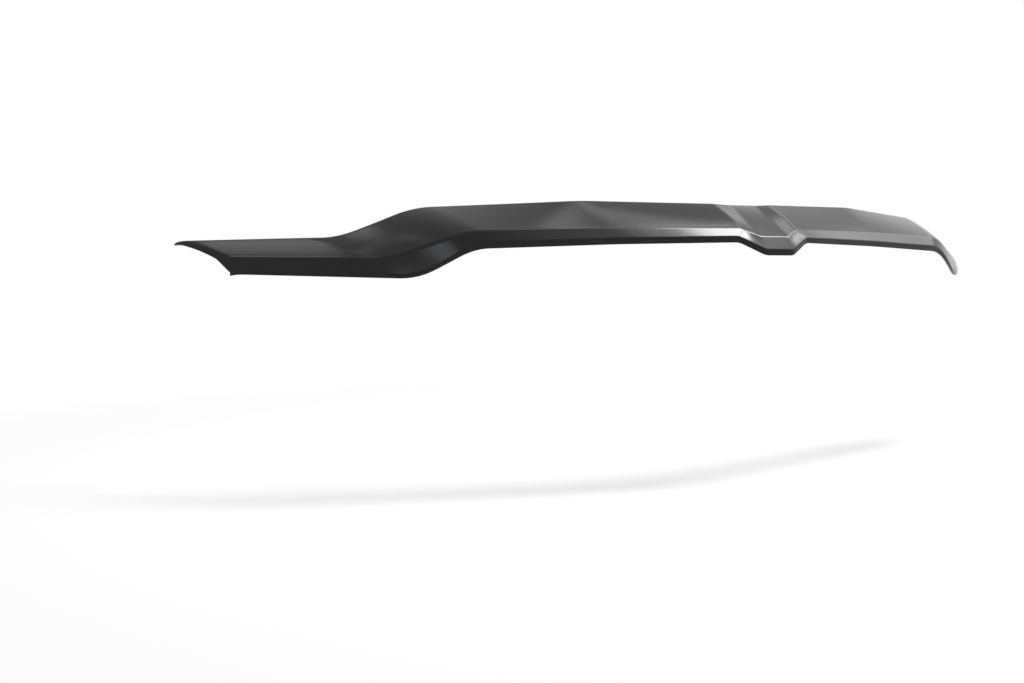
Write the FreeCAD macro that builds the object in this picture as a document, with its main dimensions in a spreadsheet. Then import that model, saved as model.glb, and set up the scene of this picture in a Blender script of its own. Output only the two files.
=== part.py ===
import FreeCAD, Part
import math
import os

# Hood bug deflector: one formed acrylic sheet that hugs the edge it is fitted over.
# It is held by strips of foam tape on its inner side, and rubber buttons keep it from rubbing.
# Frame: X along the sheet, Y towards its rear edge, Z up. The origin is the middle of the
# centre notch's lower edge, and the part is the same on both sides of X = 0.

doc = FreeCAD.newDocument("hood_bug_deflector")
sheet = doc.addObject("Spreadsheet::Sheet", "sizes")

SIZES = [
    # The sheet itself
    ("sheet_thickness", 3.0, "wall of the formed acrylic sheet"),
    # Where the forms change, measured outwards from the middle along the lower edge
    ("floor_half_width", 27.0, "edge of the centre channel's floor"),
    ("notch_half_width", 66.0, "shoulder of the centre notch on the lower edge"),
    ("channel_half_width", 55.0, "shoulder of the centre channel on the top face"),
    ("ridge_place", 252.0, "soft ridge across the top face"),
    ("step_top_place", 462.0, "start of the step down to the wing"),
    ("step_foot_place", 535.0, "foot of the step on the lower edge"),
    ("step_lag_crease", 20.0, "how much further out the step ends on the crease"),
    ("step_lag_rear", 12.0, "how much further out the step ends on the rear edge"),
    ("wing_length", 213.0, "from the foot of the step to the outer end"),
    # Lower edge, seen from above: how far it lies behind the notch
    ("notch_reach", 15.6, "how far the notch stands forward of its shoulder"),
    ("ridge_setback", 66.0, "lower edge at the ridge"),
    ("step_top_setback", 118.0, "lower edge at the top of the step"),
    ("step_foot_setback", 145.0, "lower edge at the foot of the step"),
    ("end_setback", 340.0, "lower edge at the outer end"),
    # Lower edge, height over the notch's lower edge
    ("notch_drop", 19.5, "how far the notch hangs below its shoulder"),
    ("ridge_fall", 3.5, "lower edge at the ridge, below the shoulder"),
    ("step_top_fall", 11.0, "lower edge at the step's top, below the shoulder"),
    ("step_drop", 42.5, "height of the step on the lower edge"),
    ("wing_rise", 6.0, "rise of the lower edge from the step's foot to the end"),
    # Section, from the lower edge up and back
    ("lip_lean", 1.5, "how far the lip turns in under the front face"),
    ("lip_height", 8.5, "height of the turned-in lip on the plateau"),
    ("wing_lip_height", 5.5, "height of the turned-in lip on the wing"),
    ("face_lean", 12.0, "how far the front face leans back"),
    ("wing_face_lean", 20.0, "the same on the wing"),
    ("nose_face_height", 29.0, "crease over lower edge at the nose"),
    ("face_height", 22.0, "crease over lower edge at the shoulder"),
    ("ridge_face_height", 23.5, "crease over lower edge at the ridge"),
    ("step_face_height", 26.5, "crease over lower edge at the step's top"),
    ("foot_face_height", 29.5, "crease over lower edge at the step's foot"),
    ("end_face_height", 25.0, "crease over lower edge at the outer end"),
    ("nose_depth", 95.0, "front to rear at the nose"),
    ("shoulder_depth", 78.0, "front to rear at the shoulder"),
    ("ridge_depth", 80.0, "front to rear at the ridge"),
    ("step_depth", 122.0, "front to rear at the step's top"),
    ("foot_depth", 124.0, "front to rear at the step's foot"),
    ("end_depth", 102.0, "front to rear at the outer end"),
    ("nose_height", 80.5, "rear edge over lower edge at the nose"),
    ("shoulder_height", 62.4, "rear edge over lower edge at the shoulder"),
    ("ridge_height", 68.0, "rear edge over lower edge at the ridge"),
    ("step_height", 63.5, "rear edge over lower edge at the step's top"),
    ("foot_height", 62.0, "rear edge over lower edge at the step's foot"),
    ("end_height", 51.0, "rear edge over lower edge at the outer end"),
    ("ridge_slant", 11.0, "way from front to rear at the ridge, out from Y, degrees"),
    ("step_slant", 19.0, "the same at the step's top"),
    ("foot_slant", 30.0, "the same at the step's foot"),
    ("end_slant", 30.5, "the same at the outer end"),
    ("top_crown", 1.6, "crown of the top face between its creases"),
    # Bends
    ("crease_radius", 12.0, "bend between the top and front faces"),
    ("lip_radius", 6.0, "bend between the front face and the lip"),
    ("rear_roll_radius", 6.0, "bend of the rear edge, down and inwards"),
    ("rear_roll_turn", 72.0, "how far the rear edge turns down from the top face, degrees"),
    ("end_roll_length", 16.0, "stretch of the lower edge over which the outer end turns in"),
    ("end_roll_drop", 6.0, "how far the outer end turns in"),
    ("end_roll_fall", 50.0, "way that the outer end turns in, below level, degrees"),
    ("tip_round", 24.0, "rounding of the outer end's rear corner, seen from above"),
    ("channel_round", 6.0, "half length of the rounding along the channel's edges"),
    ("ridge_round", 14.0, "half length of the rounding along the ridge"),
    ("step_round", 22.0, "half length of the rounding at the step's top and foot"),
    ("plan_round", 60.0, "half length of the lower edge's turn towards the wing"),
    # Foam tape
    ("tape_thickness", 1.1, "acrylic foam tape"),
    ("rear_tape_width", 12.0, "tape strip along the rear edge"),
    ("front_tape_width", 7.0, "tape strip behind the front face"),
    ("rear_tape_inset", 5.0, "rear strip's distance from the roll of the rear edge"),
    ("tape_end_gap", 12.0, "tape stops this far short of a change of form"),
    ("bond_gap", 0.25, "glue line between a fitted piece and the sheet"),
    # Rubber buttons
    ("button_radius", 4.5, "rubber button's base"),
    ("button_height", 3.6, "rubber button, base to crown"),
    ("button_bevel", 1.2, "bevel round the button's crown"),
    ("button_gap", 0.8, "way between a button and the rear strip"),
]

for row, (name, value, note) in enumerate(SIZES, start=1):
    sheet.set("A%d" % row, name)
    sheet.set("B%d" % row, str(value))
    sheet.setAlias("B%d" % row, name)
    sheet.set("C%d" % row, note)
doc.recompute()


def size(name):
    return float(sheet.get(name))


half_length = size("step_foot_place") + size("wing_length")

# Share of a quarter turn that the outer end's roll makes, squared.
END_TURN = 0.8
# Steps by which a slope is measured, along the lower edge and across the section.
STEP_ALONG = 0.05
STEP_ACROSS = 0.01
# The wall is cut at a slant where the sheet slopes along its length, at most this much longer.
THICKEST_CUT = 1.8


def ramp(distance, reach):
    """Zero before a corner and the distance past it after, with a parabola between."""
    if distance <= -reach:
        return 0.0
    if distance >= reach:
        return distance
    return (distance + reach) ** 2 / (4.0 * reach)


def rounded_line(place, corners):
    """A line through (place, value, rounding) corners, each rounded over its half length."""
    first, second = corners[0], corners[1]
    slope = (second[1] - first[1]) / (second[0] - first[0])
    value = first[1] + slope * (place - first[0])
    for before, here, after in zip(corners, corners[1:], corners[2:]):
        slope_in = (here[1] - before[1]) / (here[0] - before[0])
        slope_out = (after[1] - here[1]) / (after[0] - here[0])
        value += (slope_out - slope_in) * ramp(place - here[0], here[2])
    return value


def stations(nose, shoulder, ridge, step_top, step_foot, end, lag=0.0, wide=None):
    """Corners of one size from the middle outwards; the step's foot moves out by its lag."""
    tight = size("channel_round")
    soft = size("ridge_round")
    wide = wide or size("step_round")
    return [
        (0.0, nose, 0.0),
        (size("floor_half_width"), nose, tight),
        (size("notch_half_width"), shoulder, tight),
        (size("ridge_place"), ridge, soft),
        (size("step_top_place"), step_top, wide),
        (size("step_foot_place") + lag, step_foot, wide),
        (half_length, end, 0.0),
    ]


# The lower edge seen from above, and its height.
shoulder_level = size("notch_drop")
step_top_level = shoulder_level - size("step_top_fall")
step_foot_level = step_top_level - size("step_drop")
end_level = step_foot_level + size("wing_rise")
SETBACK = stations(0.0, size("notch_reach"), size("ridge_setback"), size("step_top_setback"),
                   size("step_foot_setback"), size("end_setback"), 0.0, size("plan_round"))


def level_line(nose_height, shoulder, ridge, step_top, step_foot, end, lag):
    """Height of one guide line over the origin, from its heights over the lower edge."""
    return stations(nose_height, shoulder_level + shoulder,
                    shoulder_level - size("ridge_fall") + ridge, step_top_level + step_top,
                    step_foot_level + step_foot, end_level + end, lag)


LOWER = level_line(0.0, 0.0, 0.0, 0.0, 0.0, 0.0, 0.0)
LIP = level_line(size("lip_height"), size("lip_height"), size("lip_height"), size("lip_height"),
                 size("wing_lip_height"), size("wing_lip_height"), 0.0)
CREASE = level_line(size("nose_face_height"), size("face_height"), size("ridge_face_height"),
                    size("step_face_height"), size("foot_face_height"), size("end_face_height"),
                    size("step_lag_crease"))
REAR = level_line(size("nose_height"), size("shoulder_height"), size("ridge_height"),
                  size("step_height"), size("foot_height"), size("end_height"),
                  size("step_lag_rear"))
DEPTH = stations(size("nose_depth"), size("shoulder_depth"), size("ridge_depth"),
                 size("step_depth"), size("foot_depth"), size("end_depth"))
SLANT = stations(0.0, 0.0, size("ridge_slant"), size("step_slant"), size("foot_slant"),
                 size("end_slant"), 0.0, size("plan_round"))
FACE_LEAN = stations(size("face_lean"), size("face_lean"), size("face_lean"), size("face_lean"),
                     size("wing_face_lean"), size("wing_face_lean"))
# The channel is narrower on the top face than the notch is on the lower edge.
NARROWING = stations(0.0, size("notch_half_width") - size("channel_half_width"), 0.0, 0.0, 0.0, 0.0)


def backwards(place):
    """Level unit vector in the section's upright plane, towards the rear."""
    slant = math.radians(rounded_line(place, SLANT))
    return FreeCAD.Vector(math.sin(slant), math.cos(slant), 0.0)


def end_turn(place):
    """How far the outer end has turned in at a place, from zero along a quarter of an ellipse."""
    past_roll = place - (half_length - size("end_roll_length"))
    lean = min(max(past_roll / size("end_roll_length"), 0.0), 1.0)
    return 1.0 - math.sqrt(1.0 - END_TURN * lean * lean)


def squareness(place):
    """Cosine of the angle between the section's plane and a cut square to the lower edge."""
    run = (rounded_line(place + STEP_ALONG, SETBACK) - rounded_line(place - STEP_ALONG, SETBACK))
    edge_turn = math.atan(run / (2.0 * STEP_ALONG))
    return math.cos(math.radians(rounded_line(place, SLANT)) + edge_turn)


class Bend:
    """The arc that rounds the corner of a section."""

    def __init__(self, before, corner, after, radius):
        to_before = (before - corner).normalize()
        to_after = (after - corner).normalize()
        opening = to_before.getAngle(to_after)
        self.turn = math.pi - opening
        reach = radius / math.tan(opening / 2.0)
        self.start = corner + to_before * reach
        self.end = corner + to_after * reach
        middle = (to_before + to_after).normalize()
        self.centre = corner + middle * (radius / math.sin(opening / 2.0))
        self.radius = radius
        self.first = (self.start - self.centre).normalize()
        self.across = (to_before * -1.0).normalize()

    def point(self, share):
        angle = self.turn * share
        return (self.centre + self.first * (self.radius * math.cos(angle))
                + self.across * (self.radius * math.sin(angle)))


def between(start, end, share):
    return start + (end - start) * share


def profile_point(place, across):
    """A point of the outer line of the section, as a cut square to the lower edge shows it.

    Its x is the distance behind the lower edge and its y the height. across counts the parts
    of the section from the rear: 0 to 1 is the rear roll, 1 to 2 the top face, 2 to 3 the
    crease, 3 to 4 the front face, 4 to 5 the lip's bend, and 5 to 6 the lip.
    """
    square = squareness(place)
    depth = (rounded_line(place, DEPTH) - size("tip_round") * end_turn(place)) * square
    rear_level = rounded_line(place, REAR)
    rear = FreeCAD.Vector(depth, rear_level, 0.0)
    crease = FreeCAD.Vector(rounded_line(place, FACE_LEAN) * square,
                            rounded_line(place, CREASE), 0.0)
    lip = FreeCAD.Vector(-size("lip_lean"), rounded_line(place, LIP), 0.0)
    lower = FreeCAD.Vector(0.0, rounded_line(place, LOWER), 0.0)
    climb = math.atan2(rear.y - crease.y, rear.x - crease.x)
    descent = climb - math.radians(size("rear_roll_turn"))
    edge = rear + FreeCAD.Vector(math.cos(descent), math.sin(descent), 0.0)
    roll = Bend(edge, rear, crease, size("rear_roll_radius"))
    bend = Bend(rear, crease, lip, size("crease_radius"))
    turn_in = Bend(crease, lip, lower, size("lip_radius"))
    part_number = min(int(across), 5)
    share = across - part_number
    if part_number == 0:
        return roll.point(share)
    if part_number == 1:
        crown = size("top_crown") * 4.0 * share * (1.0 - share)
        return between(roll.end, bend.start, share) + FreeCAD.Vector(0.0, crown, 0.0)
    if part_number == 2:
        return bend.point(share)
    if part_number == 3:
        return between(bend.end, turn_in.start, share)
    if part_number == 4:
        return turn_in.point(share)
    return between(turn_in.end, lower, share)


def profile_inward(place, across):
    """Unit vector square to the section's outer line, towards the inner side."""
    line = (profile_point(place, min(across + STEP_ACROSS, 6.0))
            - profile_point(place, max(across - STEP_ACROSS, 0.0)))
    return FreeCAD.Vector(-line.y, line.x, 0.0).normalize()


def in_space(place, profile):
    """Where a point of a section lies on the part; place is negative on the -X side."""
    distance = abs(place)
    inward = size("end_roll_drop") * end_turn(distance)
    fall = math.radians(size("end_roll_fall"))
    back = (profile.x + inward * math.cos(fall)) / squareness(distance)
    level = profile.y - inward * math.sin(fall)
    face = rounded_line(distance, FACE_LEAN) * squareness(distance)
    past_lip = min(max(profile.x / face, 0.0), 1.0)
    x = distance - past_lip * rounded_line(distance, NARROWING)
    point = FreeCAD.Vector(x, rounded_line(distance, SETBACK), level) + backwards(distance) * back
    if place < 0.0:
        point.x = -point.x
    return point


def outer_point(place, across):
    return in_space(place, profile_point(abs(place), across))


def surface_normal(place, across):
    """Unit vector square to the outer surface, towards the inner side."""
    along = (outer_point(min(place + STEP_ALONG, half_length), across)
             - outer_point(max(place - STEP_ALONG, -half_length), across))
    down = (outer_point(place, min(across + STEP_ACROSS, 6.0))
            - outer_point(place, max(across - STEP_ACROSS, 0.0)))
    return along.cross(down).normalize()


def sheet_point(place, across, inward):
    """A point of the sheet, a distance inwards from its outer surface.

    The point stays in its section, so a slope along the sheet lengthens the way to it.
    """
    distance = abs(place)
    profile = profile_point(distance, across)
    direction = profile_inward(distance, across)
    foot = in_space(distance, profile)
    way = in_space(distance, profile + direction * inward) - foot
    depth = way.dot(surface_normal(distance, across))
    stretch = min(max(inward / depth, 1.0), THICKEST_CUT) if inward > 0.0 else 1.0
    return in_space(place, profile + direction * (inward * stretch))


def spread(start, end, longest):
    """Evenly spaced values from start to end, no further apart than the longest."""
    count = max(1, math.ceil((end - start) / longest))
    return [start + (end - start) * number / count for number in range(count + 1)]


def closed_loft(outlines):
    """A solid with straight runs between closed outlines, each an outer and an inner row."""
    wires = [Part.makePolygon(outer + inner[::-1] + [outer[0]]) for outer, inner in outlines]
    return Part.makeLoft(wires, True, True)


# Points of a section: three on the rear roll, three on the crowned top, four on the crease,
# two on the front face, three on the lip's bend, and the lower edge.
SECTION_POINTS = [0.0, 0.5, 1.0, 1.25, 1.5, 1.75, 2.0, 2.33, 2.67, 3.0, 4.0, 4.5, 5.0,
                  6.0]
# Longest way between sections on a plain stretch and over the step, and the shortest way
# between two sections of a tape strip and of the sheet.
LONG_SECTION = 62.0
STEP_SECTION = 10.0
CLOSEST_SECTION = 1.0
NEAREST_SECTION = 0.5


def half_places():
    """Where the sheet's sections stand, from the middle to the outer end of one side."""
    tight, soft, wide = size("channel_round"), size("ridge_round"), size("step_round")
    roll_start = half_length - size("end_roll_length")
    places = [0.0]
    for corner, reach in ((size("floor_half_width"), tight), (size("notch_half_width"), tight),
                          (size("ridge_place"), soft)):
        places += spread(corner - reach, corner + reach, reach / 2.0)
    step_start = size("step_top_place") - max(size("plan_round"), wide)
    step_end = size("step_foot_place") + max(size("plan_round"), size("step_lag_rear") + wide)
    places += spread(step_start, step_end, STEP_SECTION)
    places += spread(step_end, roll_start, LONG_SECTION)
    places += [roll_start + size("end_roll_length") * math.sin(math.radians(angle))
               for angle in (30.0, 60.0, 90.0)]
    places.sort()
    filled = [places[0]]
    for place in places[1:]:
        if place - filled[-1] > NEAREST_SECTION:
            filled += spread(filled[-1], place, LONG_SECTION)[1:]
    return filled


def add_shape(name, shape):
    piece = doc.addObject("Part::Feature", name)
    piece.Label = name
    piece.Shape = shape
    piece.Placement = FreeCAD.Placement()
    return piece


def shield_shape():
    half = half_places()
    outlines = []
    for place in [-value for value in half[:0:-1]] + half:
        outlines.append(([sheet_point(place, across, 0.0) for across in SECTION_POINTS],
                         [sheet_point(place, across, size("sheet_thickness"))
                          for across in SECTION_POINTS]))
    return closed_loft(outlines)


def part_length(place, part_number):
    """How long one part of the section is, measured across the sheet."""
    ends = [profile_point(abs(place), across) for across in (part_number, part_number + 1.0)]
    return (ends[1] - ends[0]).Length


def strip_shape(start, end, part_number, inset, width):
    """A tape strip on the inner side of one part of the section.

    The inset is measured from that part's rear end; a negative one centres the strip.
    """
    near = size("sheet_thickness") + size("bond_gap")
    far = near + size("tape_thickness")
    outlines = []
    side = 1.0 if start + end >= 0.0 else -1.0
    crossed = [side * place for place in half_places()]
    places = [start] + sorted(place for place in crossed
                              if start + CLOSEST_SECTION < place < end - CLOSEST_SECTION) + [end]
    for place in places:
        length = part_length(place, part_number)
        first = inset if inset >= 0.0 else (length - width) / 2.0
        acrosses = [part_number + (first + width * share) / length for share in (0.0, 0.5, 1.0)]
        outlines.append(([sheet_point(place, across, near) for across in acrosses],
                         [sheet_point(place, across, far) for across in acrosses]))
    return closed_loft(outlines)


def flat_strip(name, reach, part_number, width):
    """A flat tape strip across the channel's middle, centred on one part of the section."""
    strip = doc.addObject("Part::Box", name)
    strip.Label = name
    strip.setExpression("Length", "2 * (sizes.floor_half_width - sizes.channel_round)")
    strip.setExpression("Width", "sizes.tape_thickness")
    strip.setExpression("Height", "sizes.%s" % width)
    towards_hood = surface_normal(0.0, part_number + 0.5)
    across_car = FreeCAD.Vector(1.0, 0.0, 0.0)
    up_face = across_car.cross(towards_hood)
    turn = FreeCAD.Rotation(across_car, towards_hood, up_face, "XYZ")
    middle = sheet_point(0.0, part_number + 0.5, size("sheet_thickness") + size("bond_gap"))
    corner = middle - across_car * reach - up_face * (size(width) / 2.0)
    strip.Placement = FreeCAD.Placement(corner, turn)
    return strip


def button(name, place, across):
    """A rubber button stood on the inner side of the sheet, its crown facing inwards."""
    post = doc.addObject("Part::Cylinder", name + "_post")
    post.setExpression("Radius", "sizes.button_radius")
    post.setExpression("Height", "sizes.button_height")
    seat = sheet_point(place, across, size("sheet_thickness") + size("bond_gap"))
    towards_hood = surface_normal(place, across)
    turn = FreeCAD.Rotation(FreeCAD.Vector(0.0, 0.0, 1.0), towards_hood)
    post.Placement = FreeCAD.Placement(seat, turn)
    doc.recompute()
    bevelled = doc.addObject("Part::Chamfer", name)
    bevelled.Label = name
    bevelled.Base = post
    crown = [number for number, edge in enumerate(post.Shape.Edges, start=1)
             if edge.Closed and (edge.Curve.Center - seat).Length > size("button_height") / 2.0]
    bevel = size("button_bevel")
    bevelled.Edges = [(number, bevel, bevel) for number in crown]
    return bevelled


sheet.Label = "sizes"
nodes = [add_shape("shield", shield_shape())]

# Tape lies on the stretches between the changes of form, the same on both sides.
gap = size("tape_end_gap")
STRETCHES = [
    ("inner", size("notch_half_width") + gap, size("ridge_place") - gap),
    ("outer", size("ridge_place") + gap, size("step_top_place") - size("step_round") - gap),
    ("wing", size("step_foot_place") + size("step_lag_rear") + size("step_round") + gap,
     half_length - size("end_roll_length") - gap),
]
TAPES = [
    ("rear_tape", 1.0, size("rear_tape_inset"), size("rear_tape_width")),
    ("front_tape", 3.0, -1.0, size("front_tape_width")),
]
channel_reach = size("floor_half_width") - size("channel_round")
nodes.append(add_shape("channel_rear_tape", strip_shape(
    -channel_reach, channel_reach, 1.0, size("rear_tape_inset"), size("rear_tape_width"))))
nodes.append(flat_strip("channel_front_tape", channel_reach, 3.0, "front_tape_width"))
for tape, part_number, inset, width in TAPES:
    for stretch, start, end in STRETCHES:
        nodes.append(add_shape("left_%s_%s" % (stretch, tape), strip_shape(
            -end, -start, part_number, inset, width)))
        nodes.append(add_shape("right_%s_%s" % (stretch, tape), strip_shape(
            start, end, part_number, inset, width)))

# Buttons stand just ahead of the rear tape, one on each stretch and one at each change.
BUTTONS = [
    ("inner", (size("notch_half_width") + size("ridge_place")) / 2.0),
    ("ridge", size("ridge_place")),
    ("outer", (size("ridge_place") + size("step_top_place")) / 2.0),
    ("step", size("step_foot_place") + size("step_lag_rear") + size("step_round")),
    ("wing", (size("step_foot_place") + half_length) / 2.0 + size("step_lag_rear")),
]
from_roll = (size("rear_tape_inset") + size("rear_tape_width") + size("button_gap")
             + size("button_radius"))
for stretch, place in BUTTONS:
    across = 1.0 + from_roll / part_length(place, 1.0)
    nodes.append(button("left_%s_button" % stretch, -place, across))
    nodes.append(button("right_%s_button" % stretch, place, across))

doc.recompute()
for item in doc.Objects:
    if "Invalid" in item.State or "Error" in item.State:
        raise RuntimeError("%s did not build: %s" % (item.Label, item.State))
os.makedirs("parts", exist_ok=True)
for node in nodes:
    shape = node.Shape
    if shape.isNull() or not shape.isValid() or not shape.Solids:
        raise RuntimeError("%s is not a valid solid" % node.Label)
    shape.exportStep("parts/%s.step" % node.Label)
    print("%-24s %3d faces %10.1f mm3" % (node.Label, len(shape.Faces), shape.Volume))
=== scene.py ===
import math

import bmesh
import bpy
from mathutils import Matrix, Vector


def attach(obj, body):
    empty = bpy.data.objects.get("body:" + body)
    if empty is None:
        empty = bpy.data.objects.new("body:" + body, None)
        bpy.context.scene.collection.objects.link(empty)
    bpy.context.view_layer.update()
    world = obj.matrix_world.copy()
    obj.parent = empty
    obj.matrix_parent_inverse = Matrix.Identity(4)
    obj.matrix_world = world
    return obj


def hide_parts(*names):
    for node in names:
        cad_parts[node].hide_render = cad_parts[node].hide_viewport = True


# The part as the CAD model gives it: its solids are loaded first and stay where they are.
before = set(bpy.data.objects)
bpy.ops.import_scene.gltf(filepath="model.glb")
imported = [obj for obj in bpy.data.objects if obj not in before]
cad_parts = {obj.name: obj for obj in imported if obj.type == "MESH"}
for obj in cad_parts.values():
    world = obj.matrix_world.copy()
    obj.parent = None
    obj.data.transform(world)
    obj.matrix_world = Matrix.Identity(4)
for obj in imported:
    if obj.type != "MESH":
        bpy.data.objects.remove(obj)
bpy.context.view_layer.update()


# The shield is one sheet of dark smoke acrylic, 3 mm thick, drawn hot over a mould and then
# trimmed all round. A rounded crease parts its top face from its front face, each outer end
# steps down to a wing, and strips of tape on its inner side hold it.
MM = 0.001
sheet_thickness = 3.0

# Where the forms change, in millimetres from the middle outwards, and how far to either side
# each change is rounded. The step ends further out on the crease and on the rear edge.
floor_half_width, shoulder_place, ridge_place = 27.0, 66.0, 252.0
step_top_place, step_foot_place, half_length = 462.0, 535.0, 748.0
channel_round, ridge_round, step_round, sweep_round = 6.0, 14.0, 22.0, 60.0
crease_lag, rear_lag = 20.0, 12.0

# The section's bends, with the turn of the rear one in degrees, its crown and its lip.
crease_radius, lip_radius, rear_roll_radius, rear_roll_turn = 12.0, 6.0, 6.0, 72.0
top_crown, lip_lean = 1.6, 1.5

# How each outer end turns in: over what length, how far, how steeply in degrees, and the share
# of a quarter turn, squared. Its rear edge draws in, its rear corner drops further by a share
# of the end's own drop, and its lower corner is rounded.
end_roll_length, end_roll_drop, end_roll_fall, end_turn = 16.0, 6.0, 50.0, 0.8
tip_round, rear_corner, lower_corner = 24.0, 1.2, 8.0


def clamped(value):
    """The value itself between 0 and 1, and the nearer of the two outside."""
    return min(max(value, 0.0), 1.0)


def ramp(distance, reach):
    """Zero before a corner and the distance past it after, with a parabola between."""
    if distance <= -reach:
        return 0.0
    if distance >= reach:
        return distance
    return (distance + reach) ** 2 / (4.0 * reach)


def rounded_line(place, corners):
    """A line through (place, value, reach) corners, each rounded within its reach."""
    first, second = corners[:2]
    value = first[1] + (second[1] - first[1]) / (second[0] - first[0]) * (place - first[0])
    for before, here, after in zip(corners, corners[1:], corners[2:]):
        slope_in = (here[1] - before[1]) / (here[0] - before[0])
        slope_out = (after[1] - here[1]) / (after[0] - here[0])
        value += (slope_out - slope_in) * ramp(place - here[0], here[2])
    return value


def stations(nose, shoulder, ridge, step_top, step_foot, end, lag=0.0, rounding=step_round):
    """The corners of a size's line: nose, shoulder, ridge, step's top and foot, end."""
    return [(0.0, nose, 0.0),
            (floor_half_width, nose, channel_round),
            (shoulder_place, shoulder, channel_round),
            (ridge_place, ridge, ridge_round),
            (step_top_place, step_top, rounding),
            (step_foot_place + lag, step_foot, rounding),
            (half_length, end, 0.0)]


# Height of the lower edge at each station.
lower_heights = (0.0, 19.5, 16.0, 8.5, -34.0, -28.0)


def level_line(heights, lag=0.0):
    """Height of a guide line, from how far it stands over the lower edge at each station."""
    return stations(*[low + over for low, over in zip(lower_heights, heights)], lag)


# The lower edge lies back by the setback, and the lip, crease and rear edge run over it. The
# depth reaches from the lower edge back to the rear one, the slant turns the sections outwards
# by degrees, and the face leans back up to the crease. The notch narrows above its lower edge.
setback_line = stations(0.0, 15.6, 66.0, 118.0, 145.0, 340.0, rounding=sweep_round)
lower_line = stations(*lower_heights)
lip_line = level_line((8.5, 8.5, 8.5, 8.5, 5.5, 5.5))
crease_line = level_line((29.0, 22.0, 23.5, 26.5, 29.5, 25.0), crease_lag)
rear_line = level_line((80.5, 62.4, 68.0, 63.5, 62.0, 51.0), rear_lag)
depth_line = stations(95.0, 78.0, 80.0, 122.0, 124.0, 102.0)
slant_line = stations(0.0, 0.0, 11.0, 19.0, 30.0, 30.5, rounding=sweep_round)
face_lean_line = stations(12.0, 12.0, 12.0, 12.0, 20.0, 20.0)
narrowing_line = stations(0.0, 11.0, 0.0, 0.0, 0.0, 0.0)


def turned_in(place):
    """How far the outer end has turned in, from zero along a quarter of an ellipse."""
    lean = clamped((place - (half_length - end_roll_length)) / end_roll_length)
    return 1.0 - math.sqrt(1.0 - end_turn * lean * lean)


def squareness(place):
    """Cosine between the section's own plane and a cut square to the lower edge."""
    step = 0.05
    run = rounded_line(place + step, setback_line) - rounded_line(place - step, setback_line)
    slant = math.radians(rounded_line(place, slant_line))
    return math.cos(slant + math.atan(run / (2.0 * step)))


class Bend:
    """The arc that rounds one corner of the section."""

    def __init__(self, before, corner, after, radius):
        to_before = (before - corner).normalized()
        to_after = (after - corner).normalized()
        opening = to_before.angle(to_after)
        reach = radius / math.tan(opening / 2.0)
        middle = (to_before + to_after).normalized()
        self.radius = radius
        self.turn = math.pi - opening
        self.start = corner + to_before * reach
        self.end = corner + to_after * reach
        self.centre = corner + middle * (radius / math.sin(opening / 2.0))
        self.first = (self.start - self.centre).normalized()
        self.across = -to_before

    def point(self, share):
        angle = self.turn * share
        return (self.centre + self.first * (self.radius * math.cos(angle))
                + self.across * (self.radius * math.sin(angle)))


# The section's parts in turn, from its rear edge down to its lower one, as counted across it.
rear_roll, top_face, crease_bend, front_face, lip_bend, lip_face, lower_edge = range(7)


def profile(place):
    """The section's outer line at a place, as a function of the way across it.

    The way is the number of a part of the section and the share of that part gone through.
    """
    square = squareness(place)
    depth = rounded_line(place, depth_line) - tip_round * turned_in(place)
    lean = rounded_line(place, face_lean_line)
    rear = Vector((depth * square, rounded_line(place, rear_line), 0.0))
    crease = Vector((lean * square, rounded_line(place, crease_line), 0.0))
    lip = Vector((-lip_lean, rounded_line(place, lip_line), 0.0))
    lower = Vector((0.0, rounded_line(place, lower_line), 0.0))
    descent = math.atan2(rear.y - crease.y, rear.x - crease.x) - math.radians(rear_roll_turn)
    edge = rear + Vector((math.cos(descent), math.sin(descent), 0.0))
    roll = Bend(edge, rear, crease, rear_roll_radius)
    bend = Bend(rear, crease, lip, crease_radius)
    turn_in = Bend(crease, lip, lower, lip_radius)

    def point(across):
        part = min(int(across), lip_face)
        share = across - part
        if part == rear_roll:
            return roll.point(share)
        if part == top_face:
            # The crown is a parabola, highest halfway over the face.
            crown = Vector((0.0, top_crown * 4.0 * share * (1.0 - share), 0.0))
            return roll.end.lerp(bend.start, share) + crown
        if part == crease_bend:
            return bend.point(share)
        if part == front_face:
            return bend.end.lerp(turn_in.start, share)
        if part == lip_bend:
            return turn_in.point(share)
        return turn_in.end.lerp(lower, share)

    return point


def on_shield(place, acrosses):
    """Points of the shield's outer face at one place along it; place is negative at -X."""
    distance = abs(place)
    point = profile(distance)
    square = squareness(distance)
    inward = end_roll_drop * turned_in(distance)
    fall = math.radians(end_roll_fall)
    slant = math.radians(rounded_line(distance, slant_line))
    narrowing = rounded_line(distance, narrowing_line)
    face = rounded_line(distance, face_lean_line) * square
    setback = rounded_line(distance, setback_line)
    points = []
    for across in acrosses:
        flat = point(across)
        # The wing's rear corner turns in further than its end, and its lower corner is rounded.
        drop = inward * (1.0 + rear_corner * clamped(crease_bend - across))
        past_front = max(across - lip_bend, 0.0) / (lower_edge - lip_bend)
        rounding = lower_corner * turned_in(distance) * past_front
        back = (flat.x + inward * math.cos(fall)) / square
        x = (distance - rounding - clamped(flat.x / face) * narrowing
             + math.sin(slant) * back)
        y = setback + math.cos(slant) * back
        z = flat.y - drop * math.sin(fall)
        points.append(Vector((math.copysign(1.0, place) * x, y, z)) * MM)
    return points


def finished(name, shape, materials, smooth=True):
    """Turns a bmesh into an object with its place in its mesh."""
    mesh = bpy.data.meshes.new(name)
    shape.to_mesh(mesh)
    shape.free()
    for face in mesh.polygons:
        face.use_smooth = smooth
    for material in materials:
        mesh.materials.append(material)
    piece = bpy.data.objects.new(name, mesh)
    bpy.context.scene.collection.objects.link(piece)
    return piece


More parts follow.
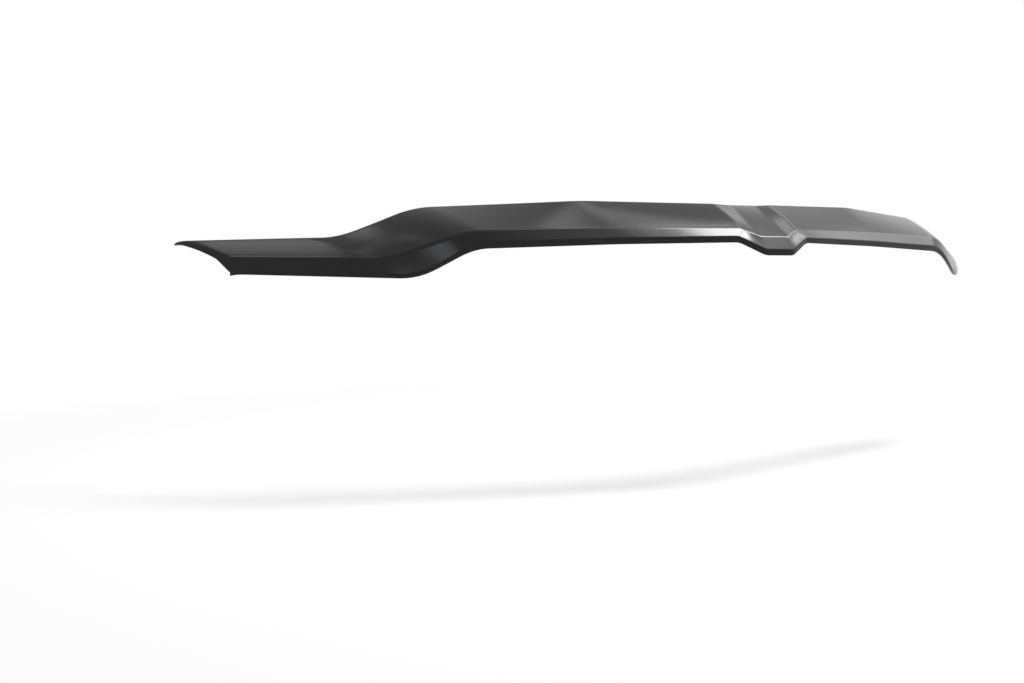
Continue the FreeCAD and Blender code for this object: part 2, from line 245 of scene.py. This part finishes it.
def plain_material(name, colour, roughness, specular=0.5):
    """A Principled material of one colour."""
    material = bpy.data.materials.new(name)
    material.use_nodes = True
    inputs = material.node_tree.nodes["Principled BSDF"].inputs
    inputs["Base Color"].default_value = (*colour, 1.0)
    inputs["Roughness"].default_value = roughness
    inputs["Specular IOR Level"].default_value = specular
    return material


def add_relief(material, scale, strength, distance, detail=2.0):
    """Fine relief from noise on the piece's own coordinates."""
    nodes, links = material.node_tree.nodes, material.node_tree.links
    place = nodes.new("ShaderNodeTexCoord")
    noise = nodes.new("ShaderNodeTexNoise")
    noise.inputs["Scale"].default_value = scale
    noise.inputs["Detail"].default_value = detail
    bump = nodes.new("ShaderNodeBump")
    bump.inputs["Strength"].default_value = strength
    bump.inputs["Distance"].default_value = distance
    links.new(place.outputs["Object"], noise.inputs["Vector"])
    links.new(noise.outputs["Fac"], bump.inputs["Height"])
    links.new(bump.outputs["Normal"], nodes["Principled BSDF"].inputs["Normal"])


acrylic = plain_material("smoke_acrylic", (0.0018, 0.0019, 0.0022), roughness=0.18,
                         specular=0.23)
add_relief(acrylic, scale=90.0, strength=0.05, distance=0.0004)
cut_edge = plain_material("cut_edge", (0.06, 0.062, 0.065), roughness=0.38)
add_relief(cut_edge, scale=900.0, strength=0.2, distance=0.0002)

# A flat grid is laid over the outer face. Each part of the section has its own number of rows,
# and they are closer together on its bends.
part_rows = (8, 16, 14, 10, 10, 8)
acrosses = [part + row / count for part, count in enumerate(part_rows) for row in range(count)]
acrosses.append(lower_edge)
columns, rows = 520, sum(part_rows)
outer_face = [on_shield(2.0 * half_length * (column / columns - 0.5), acrosses)
              for column in range(columns + 1)]
half_grid = 0.5
sheet = bmesh.new()
bmesh.ops.create_grid(sheet, x_segments=columns, y_segments=rows, size=half_grid)
for vertex in sheet.verts:
    column = round((vertex.co.x + half_grid) * columns)
    row = round((vertex.co.y + half_grid) * rows)
    vertex.co = outer_face[column][row]
bmesh.ops.recalc_face_normals(sheet, faces=sheet.faces)
foremost = min(sheet.faces, key=lambda face: face.calc_center_median().y)
if foremost.normal.y > 0.0:
    bmesh.ops.reverse_faces(sheet, faces=sheet.faces)

# The sheet gets its wall inwards and a small round on its trimmed edges, which show the
# second of its materials.
trimmed_round, trimmed_steps, trimmed_angle = 0.7, 2, 50.0
edge_slot = 1
shield = finished("formed_shield", sheet, [acrylic, cut_edge])
wall = shield.modifiers.new("wall", "SOLIDIFY")
wall.thickness = sheet_thickness * MM
wall.offset = -1.0
wall.use_even_offset = True
wall.material_offset_rim = edge_slot
trimmed = shield.modifiers.new("trimmed edge", "BEVEL")
trimmed.width = trimmed_round * MM
trimmed.segments = trimmed_steps
trimmed.limit_method = "ANGLE"
trimmed.angle_limit = math.radians(trimmed_angle)
trimmed.material = edge_slot
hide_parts("shield")
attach(shield, "root")


# Strips of closed-cell acrylic foam tape hold the shield along its rear edge and behind its
# front face. They are cut from a roll and stay as the CAD model has them, dark grey and dull.
def dress(ending, material):
    """Gives the solids whose names have this ending their one material."""
    for name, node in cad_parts.items():
        if name.endswith(ending):
            node.data.materials.clear()
            node.data.materials.append(material)


foam = plain_material("foam_tape", (0.045, 0.045, 0.048), roughness=0.85)
add_relief(foam, scale=2500.0, strength=0.5, distance=0.0003, detail=4.0)
dress("_tape", foam)


# Small moulded rubber buttons stand on the sheet's inner side and keep it from rubbing on what
# it covers. Each is glued on flat, with its bevelled crown facing inwards.
rubber = plain_material("button_rubber", (0.03, 0.03, 0.03), roughness=0.7)
add_relief(rubber, scale=1500.0, strength=0.3, distance=0.0002)
dress("_button", rubber)


# A plain pale floor lies well below the part, which hangs at the height that it is fixed at.
# The floor keeps the part's shadow and fades to white further out, where all else is white.
floor_level, floor_reach = -0.34, 30.0
shadow_reach, white_from = 0.9, 2.0
floor_shape = bmesh.new()
bmesh.ops.create_grid(floor_shape, x_segments=1, y_segments=1, size=floor_reach)
for vertex in floor_shape.verts:
    vertex.co.z = floor_level
floor_paint = plain_material("pale_floor", (0.67, 0.67, 0.67), roughness=0.9, specular=0.0)
nodes, links = floor_paint.node_tree.nodes, floor_paint.node_tree.links
where = nodes.new("ShaderNodeTexCoord")
away = nodes.new("ShaderNodeVectorMath")
away.operation = "LENGTH"
fading = nodes.new("ShaderNodeMapRange")
fading.interpolation_type = "SMOOTHSTEP"
fading.inputs["From Min"].default_value = shadow_reach
fading.inputs["From Max"].default_value = white_from
far_white = nodes.new("ShaderNodeEmission")
blend = nodes.new("ShaderNodeMixShader")
links.new(where.outputs["Object"], away.inputs[0])
links.new(away.outputs["Value"], fading.inputs["Value"])
links.new(fading.outputs["Result"], blend.inputs["Fac"])
links.new(nodes["Principled BSDF"].outputs["BSDF"], blend.inputs[1])
links.new(far_white.outputs["Emission"], blend.inputs[2])
links.new(blend.outputs["Shader"], nodes["Material Output"].inputs["Surface"])
floor = finished("floor", floor_shape, [floor_paint], smooth=False)


# The light is an even white surround and a set of soft boxes that the camera doesn't see. Each
# box stands where the stretch that it is named for mirrors it towards the camera. Azimuths run
# from +Y towards +X, a level of 1 is as bright as the surround, and two boxes are cooler.
world = bpy.data.worlds.new("studio")
bpy.context.scene.world = world
world.use_nodes = True
surround = world.node_tree.nodes["Background"]
surround.inputs["Color"].default_value = (1.0, 1.0, 1.0, 1.0)
surround.inputs["Strength"].default_value = 1.0

# Name, aim in metres, azimuth and elevation in degrees, distance, width and height in metres,
# and level of each box.
soft_boxes = (
    ("crease_box", (-0.1, 0.04, 0.03), 83.5, 60.5, 2.0, 0.33, 0.6, 27.0),
    ("crease_middle_box", (-0.1, 0.04, 0.03), 100.0, 58.5, 2.0, 0.24, 0.74, 14.0),
    ("crease_fade_box", (-0.17, 0.05, 0.03), 116.0, 65.0, 2.0, 0.28, 0.44, 5.5),
    ("front_box", (-0.3, 0.07, 0.03), 145.0, 67.0, 2.0, 0.4, 0.3, 0.8),
    ("notch_box", (0.0, 0.0, 0.03), 119.0, 51.0, 2.0, 0.44, 0.46, 4.5),
    ("notch_crease_box", (0.0, 0.0, 0.04), 84.0, 48.5, 2.0, 0.3, 0.24, 18.0),
    ("shoulder_crease_box", (0.0, 0.0, 0.04), 95.0, 53.5, 2.0, 0.28, 0.2, 24.0),
    ("shoulder_box", (0.05, 0.0, 0.03), 96.0, 44.0, 2.0, 0.3, 0.3, 10.0),
    ("side_box", (0.2, 0.1, 0.0), 100.0, 36.0, 2.5, 2.4, 1.3, 2.2),
    ("bevel_box", (-0.05, 0.05, 0.06), 56.0, 36.5, 2.5, 0.7, 0.18, 2.4),
    ("far_bevel_box", (0.05, 0.05, 0.05), 66.0, 50.0, 2.0, 0.2, 0.08, 7.0),
    ("top_box", (-0.25, 0.12, 0.07), 58.0, 63.0, 2.2, 0.6, 0.36, 2.0),
    ("wing_box", (-0.69, 0.31, 0.01), -49.0, 67.0, 0.7, 0.34, 0.27, 2.6),
    ("step_box", (-0.5, 0.13, 0.02), -133.5, 39.5, 2.0, 0.32, 0.38, 3.4),
    ("step_top_box", (-0.53, 0.2, 0.03), -58.0, 69.0, 0.7, 0.08, 0.08, 1.2),
)
for name, aim, azimuth, elevation, distance, width, height, level in soft_boxes:
    turn, rise = math.radians(azimuth), math.radians(elevation)
    way = Vector((math.cos(rise) * math.sin(turn), math.cos(rise) * math.cos(turn),
                  math.sin(rise)))
    lamp = bpy.data.lights.new(name, "AREA")
    lamp.shape = "RECTANGLE"
    lamp.size, lamp.size_y = width, height
    lamp.energy = level * math.pi * width * height
    box = bpy.data.objects.new(name, lamp)
    bpy.context.scene.collection.objects.link(box)
    box.location = Vector(aim) + way * distance
    box.rotation_euler = way.to_track_quat("Z", "Y").to_euler()
    box.visible_camera = False
cool_white = (0.92, 0.95, 1.0)
for name in ("step_box", "step_top_box"):
    bpy.data.lights[name].color = cool_white


# The camera stands where the photograph's stood, at the part's own level, in front and to
# its left, and looks slightly down.
focal_length, sensor_width, sight = 49.22, 36.0, 100.0
stand = (-1.4069, -1.6466, -0.01136)
look_down, look_right = 3.209, 29.70
lens = bpy.data.cameras.new("photograph")
lens.sensor_width = sensor_width
lens.lens = focal_length
lens.clip_end = sight
camera = bpy.data.objects.new("photograph", lens)
bpy.context.scene.collection.objects.link(camera)
camera.location = stand
camera.rotation_euler = (math.radians(90.0 - look_down), 0.0, math.radians(-look_right))
bpy.context.scene.camera = camera
bpy.context.scene.view_settings.view_transform = "Standard"
